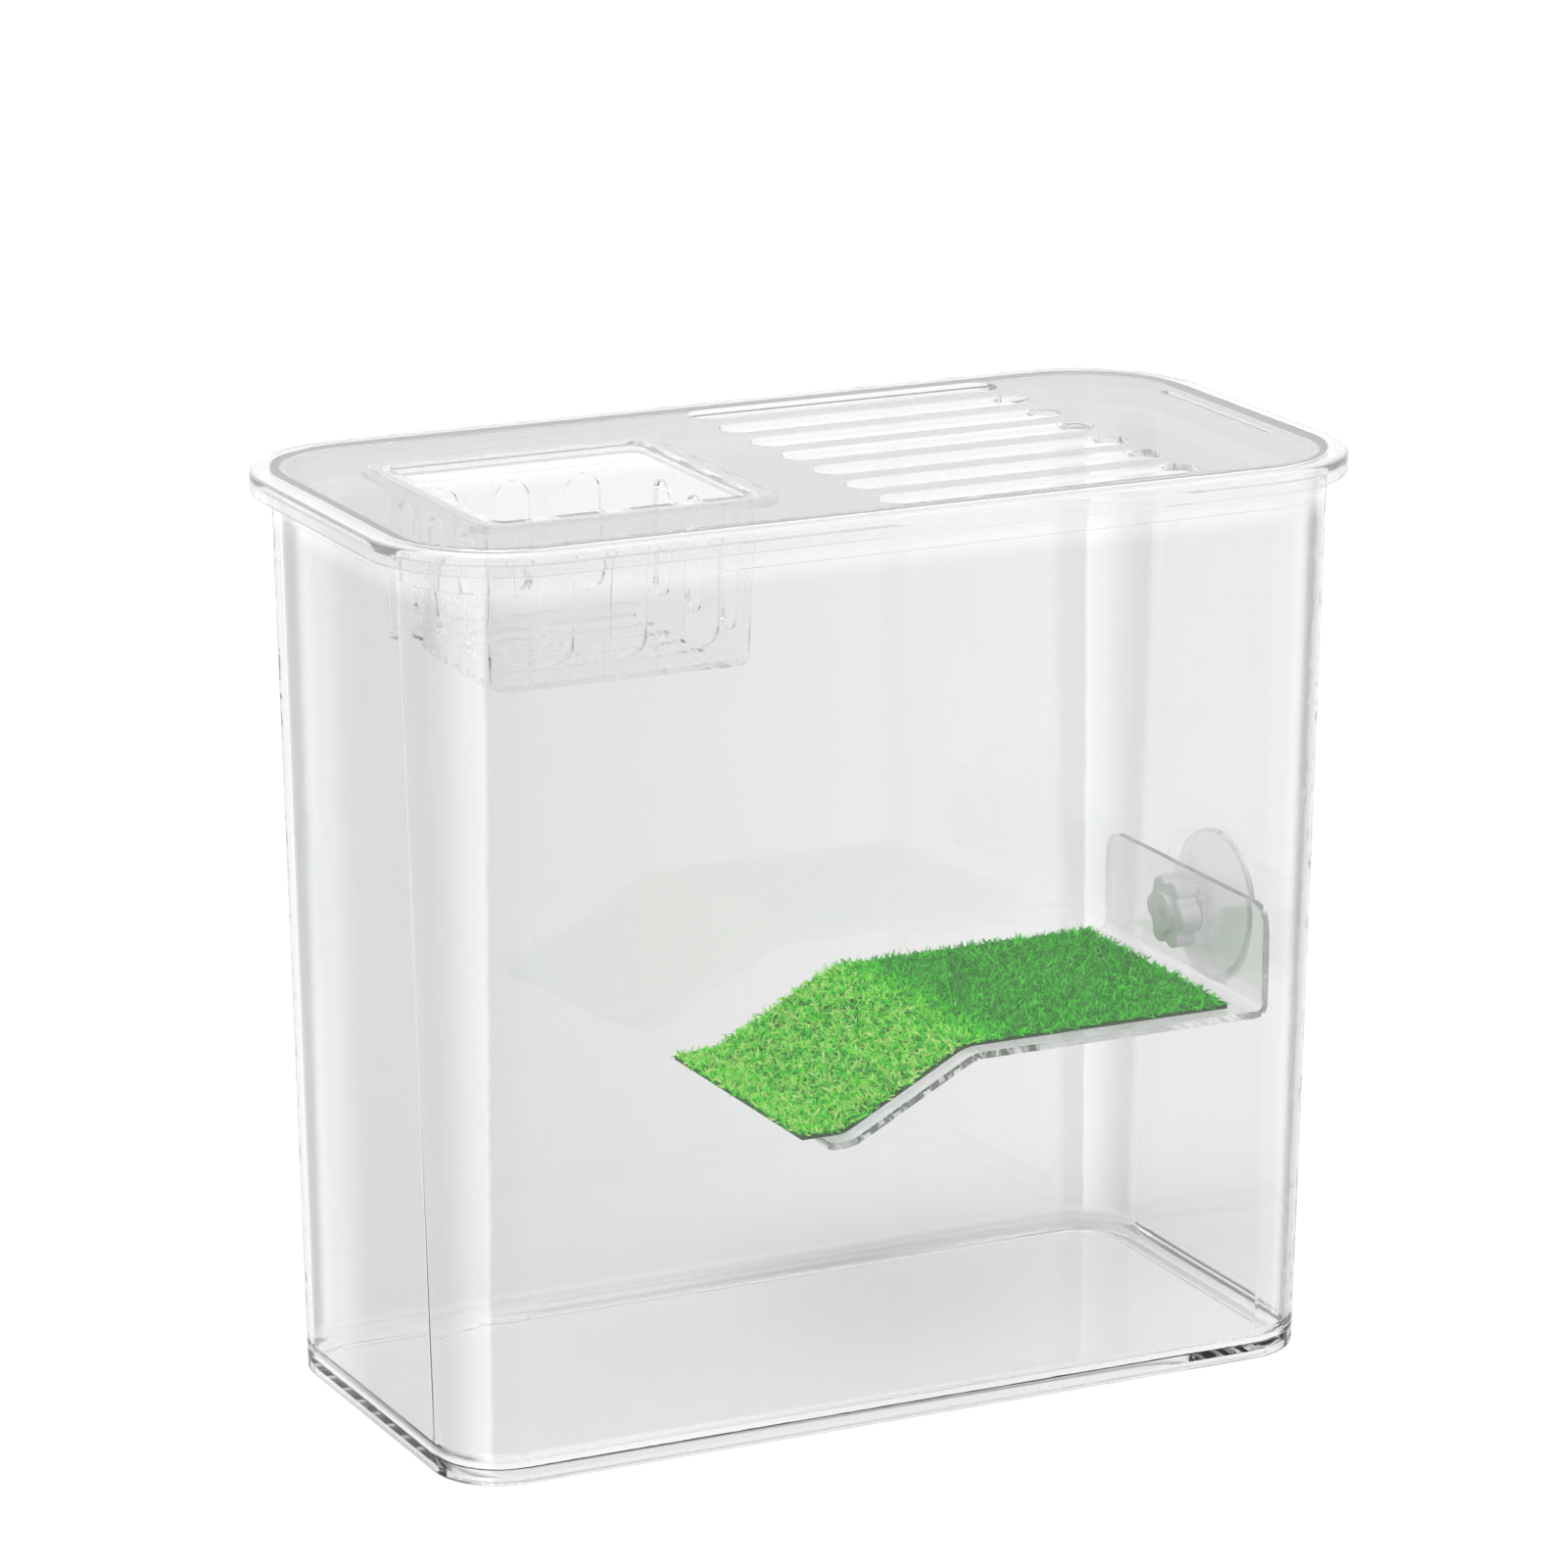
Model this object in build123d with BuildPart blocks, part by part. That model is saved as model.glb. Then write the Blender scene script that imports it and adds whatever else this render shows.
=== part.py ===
"""Turtle terrarium: clear tank, vented lid, hanging basket, basking platform and turf mat.

Millimetres, +Z up, origin at the centre of the foot ring. The tank's length runs along X, the lid's
basket is at the -X end and the platform hangs inside the +X end wall, its ramp going down towards -X.
"""

from build123d import *
import math
import os

# Tank
tank_height = 252.0
rim_length = 280.0
rim_width = 147.0
rim_corner = 37.0
rim_height = 6.0
rim_overhang = 6.3
rim_lip = 2.0
rim_web = 1.5
rim_ledge = 5.1
rim_round = 1.5
base_length = 256.0
base_width = 121.0
base_corner = 19.0
body_corner = 28.0
base_round = 1.2
wall = 2.2
floor_thickness = 3.0
floor_radius = 6.0
foot_width = 7.0
foot_recess = 1.0

# Lid
lid_thickness = 2.0
lid_clearance = 0.4
skirt_depth = 10.0
skirt_thickness = 1.2
skirt_clearance = 0.3
vent_count = 7
vent_width = 11.8
vent_length = 93.5
vent_start = -6.0
groove_length = 60.0
groove_width = 2.4
groove_depth = 0.8
groove_edge_gap = 9.0
opening_x = -68.0
ledge_thickness = 2.0
collar_wall = 2.0

# Basket
flange_size = 82.0
flange_corner = 6.0
flange_thickness = 1.6
flange_width = 2.6
flange_clearance = 0.3
basket_height = 45.0
basket_foot_size = 73.0
basket_foot_corner = 6.0
basket_wall = 1.6
basket_slot_width = 10.0
basket_slot_pitch = 20.6
basket_slot_count = 3
basket_slot_margin = 6.0
grate_slot_length = 26.0
grate_slot_width = 4.5
grate_pitch_x = 31.0
grate_pitch_y = 10.5
grate_rows = 5
grate_columns = 2

# Platform
shelf_height = 95.0
shelf_length = 90.0
platform_width = 90.0
sheet = 2.0
plate_height = 29.0
plate_corner = 7.0
plate_bend = 2.0
ramp_run = 36.4
ramp_drop = 19.3
fold_radius = 10.0
foot_radius = 12.0
lip_length = 7.0
lip_corner = 2.0
slot_width = 4.0
short_slot = 16.5
long_slot = 24.0
short_slot_pitch = 27.5
long_slot_pitch = 47.0
short_slots = 3
long_slots = 2
ramp_rows = 4
ramp_first_row = 5.0
ramp_row_pitch = 10.2
shelf_rows = 3
shelf_first_row = 4.0
shelf_row_pitch = 8.4
trough_length = 28.0
trough_width = 24.0
trough_depth = 5.5
trough_plate_gap = 10.7
trough_offset = 24.0
trough_wall = 1.5

# Suction cup, stud and knob
cup_radius = 21.5
cup_depth = 9.0
cup_rim = 1.6
cup_wall_gap = 0.1
hub_radius = 7.0
hub_length = 3.2
cup_back_bulge = 4.6
hollow_depth = 3.0
hollow_shoulder_radius = 10.0
hollow_shoulder_depth = 2.4
stud_rise = 17.0
stud_radius = 2.0
stud_head_radius = 5.0
stud_head_thickness = 1.4
stud_hole_clearance = 0.3
knob_radius = 10.5
knob_lobe_radius = 3.6
knob_lobes = 6
knob_thickness = 6.0
knob_boss_radius = 5.4
knob_boss_height = 1.4
knob_fit = 0.05
knob_round = 0.8

# Turf mat
mat_width = 80.0
mat_lip_length = 12.4
mat_knob_gap = 0.8
mat_seat_gap = 0.3
backing_thickness = 1.0
slice_thickness = 0.6
strand_pitch = 5.1
strand_height = 2.7
strand_height_spread = 0.3
strand_width = 1.7
strand_thickness = 0.9
strand_tip = 0.5
strand_lean = 0.7
strand_stagger = 0.25
strand_turn_by_column = 2.4
strand_turn_by_row = 1.7

os.makedirs("parts", exist_ok=True)


def save(piece, label):
    """Label a finished piece and write its STEP file"""
    piece.part.label = label
    export_step(piece.part, f"parts/{label}.step")


# Outline of the tank's drafted body at a height, drawn in by an inset
body_length = rim_length - 2 * rim_overhang
body_width = rim_width - 2 * rim_overhang


def body_size(z, inset=0.0):
    """Length, width and corner radius of the body at height z"""
    share = z / tank_height
    length = base_length + (body_length - base_length) * share - 2 * inset
    width = base_width + (body_width - base_width) * share - 2 * inset
    corner = base_corner + (body_corner - base_corner) * share - inset
    return length, width, corner


# Sizes shared by the tank's rim and the lid
lid_seat = tank_height - lid_thickness
seat_length = rim_length - 2 * rim_ledge
seat_width = rim_width - 2 * rim_ledge
seat_corner = rim_corner - rim_ledge
lip_foot = tank_height - rim_height

with BuildPart() as tank:
    # Drafted body
    with BuildSketch(Plane.XY):
        RectangleRounded(*body_size(0))
    with BuildSketch(Plane.XY.offset(tank_height)):
        RectangleRounded(*body_size(tank_height))
    loft()
    fillet(tank.edges().filter_by_position(Axis.Z, 0, 0), radius=base_round)
    # Rim flange with its outer lip, hollow from below
    with BuildSketch(Plane.XY.offset(lip_foot)):
        RectangleRounded(rim_length, rim_width, rim_corner)
        RectangleRounded(*body_size(lip_foot, wall / 2), mode=Mode.SUBTRACT)
    extrude(amount=rim_height)
    with BuildSketch(Plane.XY.offset(lip_foot)):
        RectangleRounded(rim_length - 2 * rim_lip, rim_width - 2 * rim_lip, rim_corner - rim_lip)
        RectangleRounded(*body_size(tank_height), mode=Mode.SUBTRACT)
    extrude(amount=rim_height - lid_thickness - rim_web, mode=Mode.SUBTRACT)
    # Inside, open at the top
    with BuildSketch(Plane.XY.offset(floor_thickness)):
        RectangleRounded(*body_size(floor_thickness, wall))
    with BuildSketch(Plane.XY.offset(tank_height)):
        RectangleRounded(*body_size(tank_height, wall))
    loft(mode=Mode.SUBTRACT)
    fillet(tank.edges().filter_by_position(Axis.Z, floor_thickness, floor_thickness), radius=floor_radius)
    # Ledge that carries the lid
    with BuildSketch(Plane.XY.offset(lid_seat)):
        RectangleRounded(seat_length, seat_width, seat_corner)
    extrude(amount=lid_thickness, mode=Mode.SUBTRACT)
    fillet(tank.faces().sort_by(Axis.Z)[-1].outer_wire().edges(), radius=rim_round)
    # Recess inside the foot ring
    with BuildSketch(Plane.XY):
        length, width, corner = body_size(0, foot_width)
        RectangleRounded(length, width, corner)
    extrude(amount=foot_recess, mode=Mode.SUBTRACT)
save(tank, "tank")

# Places shared by the lid and the basket
lid_length = seat_length - 2 * lid_clearance
lid_width = seat_width - 2 * lid_clearance
lid_corner = seat_corner - lid_clearance
skirt_foot = lid_seat - skirt_depth
skirt_size = body_size(skirt_foot, wall + skirt_clearance)
skirt_inside = body_size(skirt_foot, wall + skirt_clearance + skirt_thickness)
vent_pitch = (skirt_inside[1] - vent_width) / (vent_count - 1)
rebate_size = flange_size + 2 * flange_clearance
rebate_corner = flange_corner + flange_clearance
flange_seat = tank_height - flange_thickness
opening_size = flange_size - 2 * flange_width
opening_corner = flange_corner
collar_size = rebate_size + 2 * collar_wall

with BuildPart() as lid:
    # Plate flush with the rim
    with BuildSketch(Plane.XY.offset(lid_seat)):
        RectangleRounded(lid_length, lid_width, lid_corner)
    extrude(amount=lid_thickness)
    # Skirt that centres the lid inside the walls
    with BuildSketch(Plane.XY.offset(skirt_foot)):
        RectangleRounded(*skirt_size)
        RectangleRounded(*skirt_inside, mode=Mode.SUBTRACT)
    extrude(amount=skirt_depth)
    # Collar and rebate that carry the basket's flange
    with BuildSketch(Plane.XY.offset(flange_seat - ledge_thickness)):
        with Locations((opening_x, 0)):
            RectangleRounded(collar_size, collar_size, rebate_corner + collar_wall)
    extrude(amount=ledge_thickness + flange_thickness)
    with BuildSketch(Plane.XY.offset(flange_seat)):
        with Locations((opening_x, 0)):
            RectangleRounded(rebate_size, rebate_size, rebate_corner)
    extrude(amount=flange_thickness, mode=Mode.SUBTRACT)
    with BuildSketch(Plane.XY.offset(flange_seat)):
        with Locations((opening_x, 0)):
            RectangleRounded(opening_size, opening_size, opening_corner)
    extrude(amount=-ledge_thickness, mode=Mode.SUBTRACT)
    # Vent slots along the length
    with BuildSketch(Plane.XY.offset(lid_seat)):
        with Locations((vent_start + vent_length / 2, 0)):
            with GridLocations(0, vent_pitch, 1, vent_count):
                SlotOverall(vent_length, vent_width)
    extrude(amount=lid_thickness, mode=Mode.SUBTRACT)
    # Finger groove at the end
    with BuildSketch(Plane.XY.offset(tank_height)):
        with Locations((lid_length / 2 - groove_edge_gap, 0)):
            SlotOverall(groove_length, groove_width, rotation=90)
    extrude(amount=-groove_depth, mode=Mode.SUBTRACT)
save(lid, "lid")

# Basket walls, from the opening down to the foot
basket_foot = tank_height - basket_height
basket_top_size = opening_size - 2 * lid_clearance
basket_top_corner = opening_corner - lid_clearance
basket_slot_foot = basket_foot + basket_slot_margin
basket_slot_top = flange_seat - basket_slot_margin

with BuildPart() as basket:
    # Tapered tub
    with BuildSketch(Plane.XY.offset(basket_foot)):
        with Locations((opening_x, 0)):
            RectangleRounded(basket_foot_size, basket_foot_size, basket_foot_corner)
    with BuildSketch(Plane.XY.offset(flange_seat)):
        with Locations((opening_x, 0)):
            RectangleRounded(basket_top_size, basket_top_size, basket_top_corner)
    loft()
    # Flange that hangs in the lid
    with BuildSketch(Plane.XY.offset(flange_seat)):
        with Locations((opening_x, 0)):
            RectangleRounded(flange_size, flange_size, flange_corner)
    extrude(amount=flange_thickness)
    # Inside, open at the top
    with BuildSketch(Plane.XY.offset(basket_foot + basket_wall)):
        with Locations((opening_x, 0)):
            inner_foot = basket_foot_size - 2 * basket_wall
            RectangleRounded(inner_foot, inner_foot, basket_foot_corner - basket_wall)
    with BuildSketch(Plane.XY.offset(tank_height)):
        with Locations((opening_x, 0)):
            inner_top = basket_top_size - 2 * basket_wall
            RectangleRounded(inner_top, inner_top, basket_top_corner - basket_wall)
    loft(mode=Mode.SUBTRACT)
    # Upright slots through the four walls
    slot_height = basket_slot_top - basket_slot_foot
    slot_middle = (basket_slot_top + basket_slot_foot) / 2
    for side in (Vector(1, 0, 0), Vector(0, 1, 0)):
        across = Plane(origin=(opening_x, 0, slot_middle), x_dir=(0, 0, 1), z_dir=side)
        with BuildSketch(across):
            with GridLocations(0, basket_slot_pitch, 1, basket_slot_count):
                SlotOverall(slot_height, basket_slot_width)
        extrude(amount=flange_size, both=True, mode=Mode.SUBTRACT)
    # Grating in the bottom
    with BuildSketch(Plane.XY.offset(basket_foot)):
        with Locations((opening_x, 0)):
            with GridLocations(grate_pitch_x, grate_pitch_y, grate_columns, grate_rows):
                SlotOverall(grate_slot_length, grate_slot_width)
    extrude(amount=basket_wall, mode=Mode.SUBTRACT)
save(basket, "basket")

# Places along the platform, measured inward from the end wall at the stud's height
stud_height = shelf_height + stud_rise
wall_x = body_size(stud_height, wall)[0] / 2
plate_outside = wall_x - cup_depth
plate_inside = plate_outside - sheet
fold_x = plate_outside - shelf_length
foot_x = fold_x - ramp_run
shelf_under = shelf_height - sheet
bend_shift = math.tan(math.atan2(ramp_drop, ramp_run) / 2)


def ramp_line(start_x, end_run, lift):
    """Corners of a line parallel to the sheet's underside, at a lift above it, with the bend radii"""
    shift = lift * bend_shift
    top = shelf_under + lift
    foot = top - ramp_drop
    end_x = foot_x - shift - end_run
    corners = ((start_x, top), (fold_x - shift, top), (foot_x - shift, foot), (end_x, foot))
    return corners, (fold_radius + lift, foot_radius - lift)


def slot_row(distance, count, length, pitch):
    """One row of slots across the sheet"""
    with Locations((distance, 0)):
        with GridLocations(0, pitch, 1, count):
            SlotOverall(length, slot_width, rotation=90)


short_row = (short_slots, short_slot, short_slot_pitch)
long_row = (long_slots, long_slot, long_slot_pitch)

with BuildPart() as platform:
    # Bent sheet: plate, shelf, ramp and foot lip
    with BuildSketch(Plane.XZ):
        with BuildLine():
            corners, radii = ramp_line(plate_outside, lip_length, 0)
            plate_top = (plate_outside, shelf_height + plate_height)
            FilletPolyline(plate_top, *corners, radius=[plate_bend + sheet, *radii])
            offset(amount=sheet, side=Side.RIGHT)
        make_face()
    extrude(amount=platform_width / 2, both=True)
    fillet(platform.edges().filter_by(Axis.X).group_by(Axis.Z)[-1], radius=plate_corner)
    fillet(platform.edges().filter_by(Axis.Z).group_by(Axis.X)[0], radius=lip_corner)
    # Food trough moulded into the shelf
    trough_x = plate_outside - trough_plate_gap - trough_length / 2
    with BuildSketch(Plane.XY.offset(shelf_under)):
        with Locations((trough_x, trough_offset)):
            Rectangle(trough_length + 2 * trough_wall, trough_width + 2 * trough_wall)
    extrude(amount=-(trough_depth + trough_wall - sheet))
    with BuildSketch(Plane.XY.offset(shelf_height)):
        with Locations((trough_x, trough_offset)):
            Rectangle(trough_length, trough_width)
    extrude(amount=-trough_depth, mode=Mode.SUBTRACT)
    # Slot rows across the shelf beside the fold
    with BuildSketch(Plane.XY.offset(shelf_height)):
        for row in range(shelf_rows):
            slot_row(fold_x + shelf_first_row + row * shelf_row_pitch, *(short_row if row else long_row))
    extrude(amount=-sheet, both=True, mode=Mode.SUBTRACT)
    # Slot rows down the ramp, three short and two long by turns
    down = Vector(-ramp_run, 0, -ramp_drop).normalized()
    ramp_plane = Plane(origin=(fold_x, 0, shelf_height), x_dir=down, z_dir=down.cross(Vector(0, -1, 0)))
    with BuildSketch(ramp_plane):
        for row in range(ramp_rows):
            slot_row(ramp_first_row + row * ramp_row_pitch, *(long_row if row % 2 else short_row))
    extrude(amount=2 * sheet, both=True, mode=Mode.SUBTRACT)
    # Hole for the stud
    with BuildSketch(Plane.YZ.offset(plate_inside)):
        with Locations((0, stud_height)):
            Circle(stud_radius + stud_hole_clearance)
    extrude(amount=sheet, mode=Mode.SUBTRACT)
save(platform, "platform")

# Cup profile: distances in from the wall, and radii about the stud
rim_start = -2 * cup_rim
hub_start = cup_depth - hub_length
stud_end = cup_depth + sheet + knob_thickness
head_start = hub_start + stud_head_thickness / 2


def from_wall(distance, radius):
    """Point of a profile above the stud's axis"""
    return wall_x - distance, stud_height + radius


stud_axis = Axis((wall_x, 0, stud_height), (-1, 0, 0))

with BuildPart() as cup_stud:
    with BuildSketch(Plane.XZ):
        with BuildLine():
            Polyline(
                from_wall(head_start, 0),
                from_wall(head_start, stud_head_radius),
                from_wall(head_start + stud_head_thickness, stud_head_radius),
                from_wall(head_start + stud_head_thickness, stud_radius),
                from_wall(stud_end, stud_radius),
                from_wall(stud_end, 0),
                close=True,
            )
        make_face()
    revolve(axis=stud_axis)
save(cup_stud, "cup_stud")

# Inner face of the end wall, as a plane
wall_lean = math.atan2((body_length - base_length) / 2, tank_height)
wall_normal = Vector(-math.cos(wall_lean), 0, math.sin(wall_lean))
wall_plane = Plane(origin=(wall_x, 0, stud_height), z_dir=wall_normal)

with BuildPart() as suction_cup:
    with BuildSketch(Plane.XZ):
        with BuildLine():
            outside = Line(from_wall(rim_start, cup_radius), from_wall(cup_rim, cup_radius))
            back = ThreePointArc(
                from_wall(cup_rim, cup_radius),
                from_wall(cup_back_bulge, (cup_radius + hub_radius) / 2),
                from_wall(hub_start, hub_radius),
            )
            Polyline(
                back @ 1,
                from_wall(cup_depth, hub_radius),
                from_wall(cup_depth, 0),
                from_wall(hollow_depth, 0),
            )
            hollow = ThreePointArc(
                from_wall(hollow_depth, 0),
                from_wall(hollow_shoulder_depth, hollow_shoulder_radius),
                from_wall(0, cup_radius - cup_rim),
            )
            Polyline(hollow @ 1, from_wall(rim_start, cup_radius - cup_rim), outside @ 0)
        make_face()
    revolve(axis=stud_axis)
    split(bisect_by=wall_plane.offset(cup_wall_gap), keep=Keep.TOP)
    add(cup_stud.part, mode=Mode.SUBTRACT)
save(suction_cup, "suction_cup")

knob_plane = Plane(origin=(plate_inside, 0, stud_height), x_dir=(0, 1, 0), z_dir=(-1, 0, 0))
with BuildPart() as knob:
    # Lobed grip
    with BuildSketch(knob_plane):
        Circle(knob_radius - knob_lobe_radius / 2)
        with PolarLocations(knob_radius - knob_lobe_radius, knob_lobes):
            Circle(knob_lobe_radius)
    extrude(amount=knob_thickness)
    fillet(knob.faces().sort_by(Axis.X)[0].outer_wire().edges(), radius=knob_round)
    # Boss over the stud's end
    with BuildSketch(knob_plane.offset(knob_thickness)):
        Circle(knob_boss_radius)
    extrude(amount=knob_boss_height)
    # Blind bore
    with BuildSketch(knob_plane):
        Circle(stud_radius + knob_fit)
    extrude(amount=knob_thickness, mode=Mode.SUBTRACT)
save(knob, "knob")

# Mat laid on the shelf and the ramp, from the knob to past the foot lip
mat_end_x = plate_inside - knob_thickness - knob_boss_height - mat_knob_gap
mat_thickness = backing_thickness + slice_thickness
mat_corners, mat_radii = ramp_line(mat_end_x, mat_lip_length, sheet + mat_seat_gap)
with BuildLine(Plane.XZ) as mat_line:
    FilletPolyline(*mat_corners, radius=mat_radii)
mat_path = mat_line.wire()
flat_edge, fold_arc, slope_edge, foot_arc, lip_edge = mat_line.edges().sort_by(Axis.X, reverse=True)


def mat_layer(thickness):
    """Sheet of the mat, from its underside up"""
    with BuildPart() as layer:
        with BuildSketch(Plane.XZ):
            with BuildLine():
                FilletPolyline(*mat_corners, radius=mat_radii)
                offset(amount=thickness, side=Side.RIGHT)
            make_face()
        extrude(amount=mat_width / 2, both=True)
    return layer.part


with BuildPart() as turf_backing:
    add(mat_layer(backing_thickness))
save(turf_backing, "turf_backing")


def strands(start, end):
    """Four-sided strands that lean a little, in staggered rows between two lengths of the mat"""
    blades = []
    rows = round((end - start) / strand_pitch)
    columns = round(mat_width / strand_pitch)
    for row in range(rows):
        distance = start + (row + 0.5) * (end - start) / rows
        point = mat_path.position_at(distance, PositionMode.LENGTH)
        along = mat_path.tangent_at(distance, PositionMode.LENGTH)
        up = Vector(0, 1, 0).cross(along)
        for column in range(columns):
            stagger = strand_stagger if row % 2 else -strand_stagger
            y = ((column + 0.5 + stagger) / columns - 0.5) * mat_width
            turn = strand_turn_by_column * column + strand_turn_by_row * row
            lean_x = strand_lean * math.sin(turn)
            lean_z = strand_lean * math.cos(turn * turn)
            height = strand_height + strand_height_spread * math.sin(turn * row)
            base = point + up * (backing_thickness + slice_thickness / 2) + Vector(0, y, 0)
            place = Plane(origin=base, x_dir=(0, 1, 0), z_dir=-along)
            middle_x = strand_width / 2 + lean_x
            middle_z = strand_thickness / 2 + lean_z
            blade = Wedge(
                strand_width,
                height,
                strand_thickness,
                middle_x - strand_tip / 2,
                middle_z - strand_tip / 2,
                middle_x + strand_tip / 2,
                middle_z + strand_tip / 2,
                align=(Align.CENTER, Align.MIN, Align.CENTER),
            )
            blades.append(place.location * blade)
    return blades


fold_end = flat_edge.length
foot_start = fold_end + fold_arc.length + slope_edge.length + foot_arc.length
path_end = foot_start + lip_edge.length
fold_cut = (flat_edge @ 0.5).X - flat_edge.length / 2
foot_cut = (lip_edge @ 0.5).X + lip_edge.length / 2
reach = rim_length
pile_zones = {
    "turf_pile_shelf": (0, fold_end, fold_cut, reach),
    "turf_pile_ramp": (fold_end, foot_start, foot_cut, fold_cut),
    "turf_pile_lip": (foot_start, path_end, -reach, foot_cut),
}
slice_layer = mat_layer(mat_thickness) - mat_layer(backing_thickness)
strand_total = 0
for name, (start, end, left, right) in pile_zones.items():
    blades = strands(start, end)
    strand_total += len(blades)
    zone = Pos((left + right) / 2, 0, shelf_height) * Box(right - left, reach, reach)
    with BuildPart() as pile:
        add(slice_layer)
        add(zone, mode=Mode.INTERSECT)
        add(blades)
    save(pile, name)
print("strands", strand_total)
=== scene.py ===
import math

import bmesh
import bpy
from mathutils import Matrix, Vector


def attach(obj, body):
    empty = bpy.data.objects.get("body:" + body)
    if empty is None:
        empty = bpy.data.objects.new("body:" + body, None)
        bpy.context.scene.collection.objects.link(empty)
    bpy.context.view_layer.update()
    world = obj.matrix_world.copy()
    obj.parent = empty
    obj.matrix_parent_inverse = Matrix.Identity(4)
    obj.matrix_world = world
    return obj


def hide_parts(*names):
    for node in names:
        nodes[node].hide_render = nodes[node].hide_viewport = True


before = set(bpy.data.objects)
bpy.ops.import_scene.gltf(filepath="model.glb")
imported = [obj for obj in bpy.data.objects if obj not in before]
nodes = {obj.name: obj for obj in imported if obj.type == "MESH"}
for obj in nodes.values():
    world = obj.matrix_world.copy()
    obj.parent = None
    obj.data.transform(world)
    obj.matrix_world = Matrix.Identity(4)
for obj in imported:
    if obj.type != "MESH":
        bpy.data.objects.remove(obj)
bpy.context.view_layer.update()
scene = bpy.context.scene
scene.view_settings.view_transform = "Standard"
print("frame loaded:", len(nodes), "nodes")


# small helpers for shader and geometry trees


def addNode(tree, kind, at, **settings):
    made = tree.nodes.new(kind)
    made.location = at
    for name, value in settings.items():
        setattr(made, name, value)
    return made


def newMaterial(name):
    mat = bpy.data.materials.new(name)
    mat.use_nodes = True
    mat.node_tree.nodes.clear()
    return mat, mat.node_tree


def setRamp(ramp, stops):
    marks = ramp.color_ramp.elements
    marks[0].position, marks[1].position = stops[0][0], stops[-1][0]
    for at, colour in stops[1:-1]:
        marks.new(at)
    for mark, (at, colour) in zip(marks, stops):
        mark.color = (*colour, 1)


def greys(stops, first=0.0, last=1.0):
    return [((at - first) / (last - first), (value, value, value)) for at, value in stops]


def addRange(tree, at, taken=(0.0, 1.0), given=(0.0, 1.0), **settings):
    made = addNode(tree, "ShaderNodeMapRange", at, **settings)
    made.inputs["From Min"].default_value, made.inputs["From Max"].default_value = taken
    made.inputs["To Min"].default_value, made.inputs["To Max"].default_value = given
    return made


def placed(name, mesh, body, *replaced):
    piece = bpy.data.objects.new(name, mesh)
    scene.collection.objects.link(piece)
    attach(piece, body)
    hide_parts(*replaced)
    return piece


def dress(piece, mat):
    piece.data.materials.clear()
    piece.data.materials.append(mat)


# camera, framed as the photograph is

cameraView = {
    "azimuth": -26.09,
    "elevation": 16.25,
    "distance": 1.86335,
    "target": (0, 0, 0.12597),
    "lens": 158.42,
    "shift": (-0.01164, 0.08157),
}

turn = math.radians(cameraView["azimuth"])
rise = math.radians(cameraView["elevation"])
level = math.cos(rise)
back = Vector((math.sin(turn) * level, -math.cos(turn) * level, math.sin(rise)))
camera = bpy.data.objects.new("camera", bpy.data.cameras.new("camera"))
camera.location = Vector(cameraView["target"]) + back * cameraView["distance"]
camera.rotation_euler = back.to_track_quat("Z", "Y").to_euler()
camera.data.lens = cameraView["lens"]
camera.data.shift_x, camera.data.shift_y = cameraView["shift"]
scene.collection.objects.link(camera)
scene.camera = camera
print("camera placed")


# studio: white surround, grey overhead for the clear edges to pick up, soft lamps

studio = {
    "ambient": 0.62,
    "surround": [  # from straight down to straight up
        (0.0, (1, 1, 1)),
        (0.66, (1, 1, 1)),
        (0.8, (0.72, 0.725, 0.73)),
        (1.0, (0.88, 0.88, 0.88)),
    ],
    "floorSize": 12.0,
    "floorGap": 0.0002,
    "floorRoughness": 0.9,
    "floorColour": (0.8, 0.8, 0.8),
    "floorLift": 0.27,
    "lamps": {
        "keyLamp": {"from": (-0.5, -0.55, 1.0), "spread": 40, "strength": 1.05},
        "fillLamp": {"from": (0.75, -0.25, 0.8), "spread": 50, "strength": 0.45},
        "backLamp": {"from": (0.1, 0.9, 0.9), "spread": 50, "strength": 0.35},
    },
    "bounces": 20,  # light runs far inside clear walls
}

world = bpy.data.worlds.new("studio")
scene.world = world
world.use_nodes = True
tree = world.node_tree
tree.nodes.clear()
link = tree.links.new
out = addNode(tree, "ShaderNodeOutputWorld", (900, 0))
choose = addNode(tree, "ShaderNodeMixShader", (700, 0))
ambient = addNode(tree, "ShaderNodeBackground", (450, 120))
ambient.inputs["Color"].default_value = (1, 1, 1, 1)
ambient.inputs["Strength"].default_value = studio["ambient"]
seen = addNode(tree, "ShaderNodeBackground", (450, -80))
white = addNode(tree, "ShaderNodeMix", (250, -80), data_type="RGBA")
white.inputs["B"].default_value = (1, 1, 1, 1)
where = addNode(tree, "ShaderNodeTexCoord", (-500, -150))
height = addNode(tree, "ShaderNodeSeparateXYZ", (-320, -150))
half = addRange(tree, (-150, -150), taken=(-1, 1))
surround = addNode(tree, "ShaderNodeValToRGB", (0, -150))
setRamp(surround, studio["surround"])
path = addNode(tree, "ShaderNodeLightPath", (-150, 350))
bent = addNode(tree, "ShaderNodeMath", (100, 250), operation="MAXIMUM")
shown = addNode(tree, "ShaderNodeMath", (280, 300), operation="MAXIMUM")
link(where.outputs["Generated"], height.inputs[0])
link(height.outputs["Z"], half.inputs["Value"])
link(half.outputs["Result"], surround.inputs["Fac"])
link(surround.outputs["Color"], white.inputs["A"])
link(path.outputs["Is Camera Ray"], white.inputs["Factor"])
link(white.outputs["Result"], seen.inputs["Color"])
link(path.outputs["Is Glossy Ray"], bent.inputs[0])
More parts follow.
